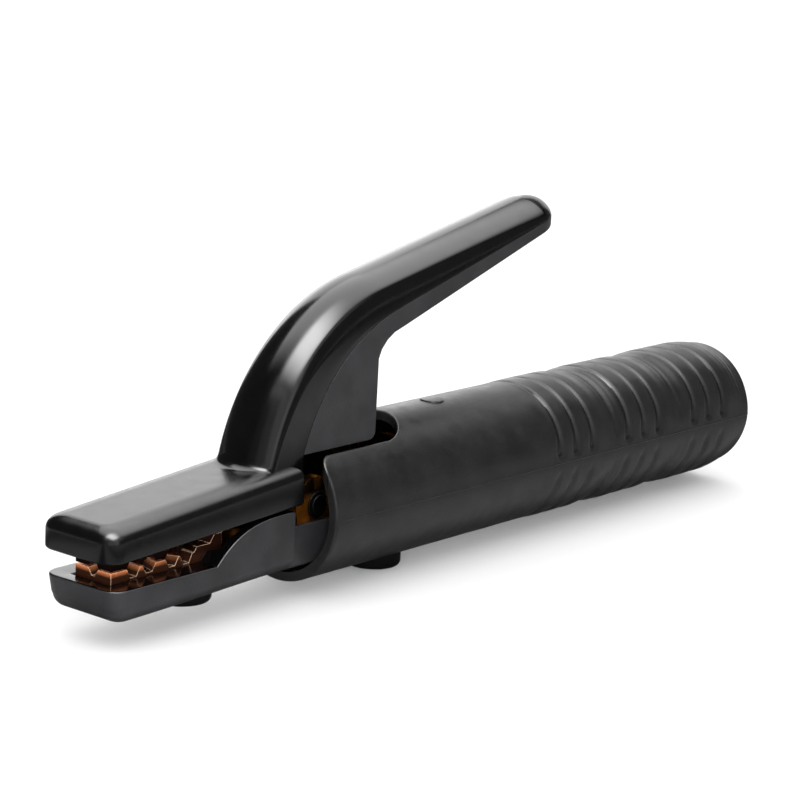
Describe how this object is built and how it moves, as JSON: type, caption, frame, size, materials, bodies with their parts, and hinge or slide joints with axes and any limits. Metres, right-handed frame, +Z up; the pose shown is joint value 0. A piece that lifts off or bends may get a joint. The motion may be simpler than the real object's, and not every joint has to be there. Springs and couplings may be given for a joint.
{
  "type": "electrode holder",
  "caption": "Hand-held spring-jaw electrode holder for arc welding: round grooved handle, squeeze lever and insulated two-part jaw with toothed metal inserts.",
  "frame": {"origin": "centre of the cable entry in the handle's rear face, on the handle's axis", "axes": "+X forward along the handle to the jaw, +Y to the holder's left, +Z up towards the lever"},
  "size_m": [0.2509, 0.0372, 0.0909],
  "materials": {
    "moulded_black": "satin moulded, very fine grain",
    "gloss_black": "gloss moulded",
    "brass": "cast and machined",
    "copper": "bright pressed copper",
    "steel": "zinc plated"
  },
  "bodies": {
    "holder": {"handle_barrel": "moulded_black", "lower_cover": "moulded_black", "clamp_body": "brass", "lower_jaw": "copper", "lower_jaw_rivets": "copper", "jaw_screw": "steel", "jaw_screw_boss": "moulded_black", "handle_screw": "steel", "handle_screw_boss": "moulded_black", "cable_screws": "steel", "cable_sleeve": "copper", "pivot_pin": "steel", "pivot_clips": "steel", "hinge_washers": "steel", "spring_post": "steel", "jaw_spring": "steel"},
    "lever": {"lever_cover": "gloss_black", "lever_insert": "moulded_black", "lever_core": "brass", "upper_jaw": "copper", "upper_jaw_rivets": "copper", "cover_screw": "steel", "hinge_bush": "brass", "spring_cup": "steel", "insert_screws": "steel"}
  },
  "joints": [
    {"name": "lever_hinge", "type": "hinge", "parent": "holder", "child": "lever", "pos_m": [0.18, 0, 0.002], "axis": [0, -1, 0], "range_deg": [0, 15], "stiffness_Nm_per_rad": 4, "springref_deg": -20.05, "deforming": ["jaw_spring"]}
  ]
}
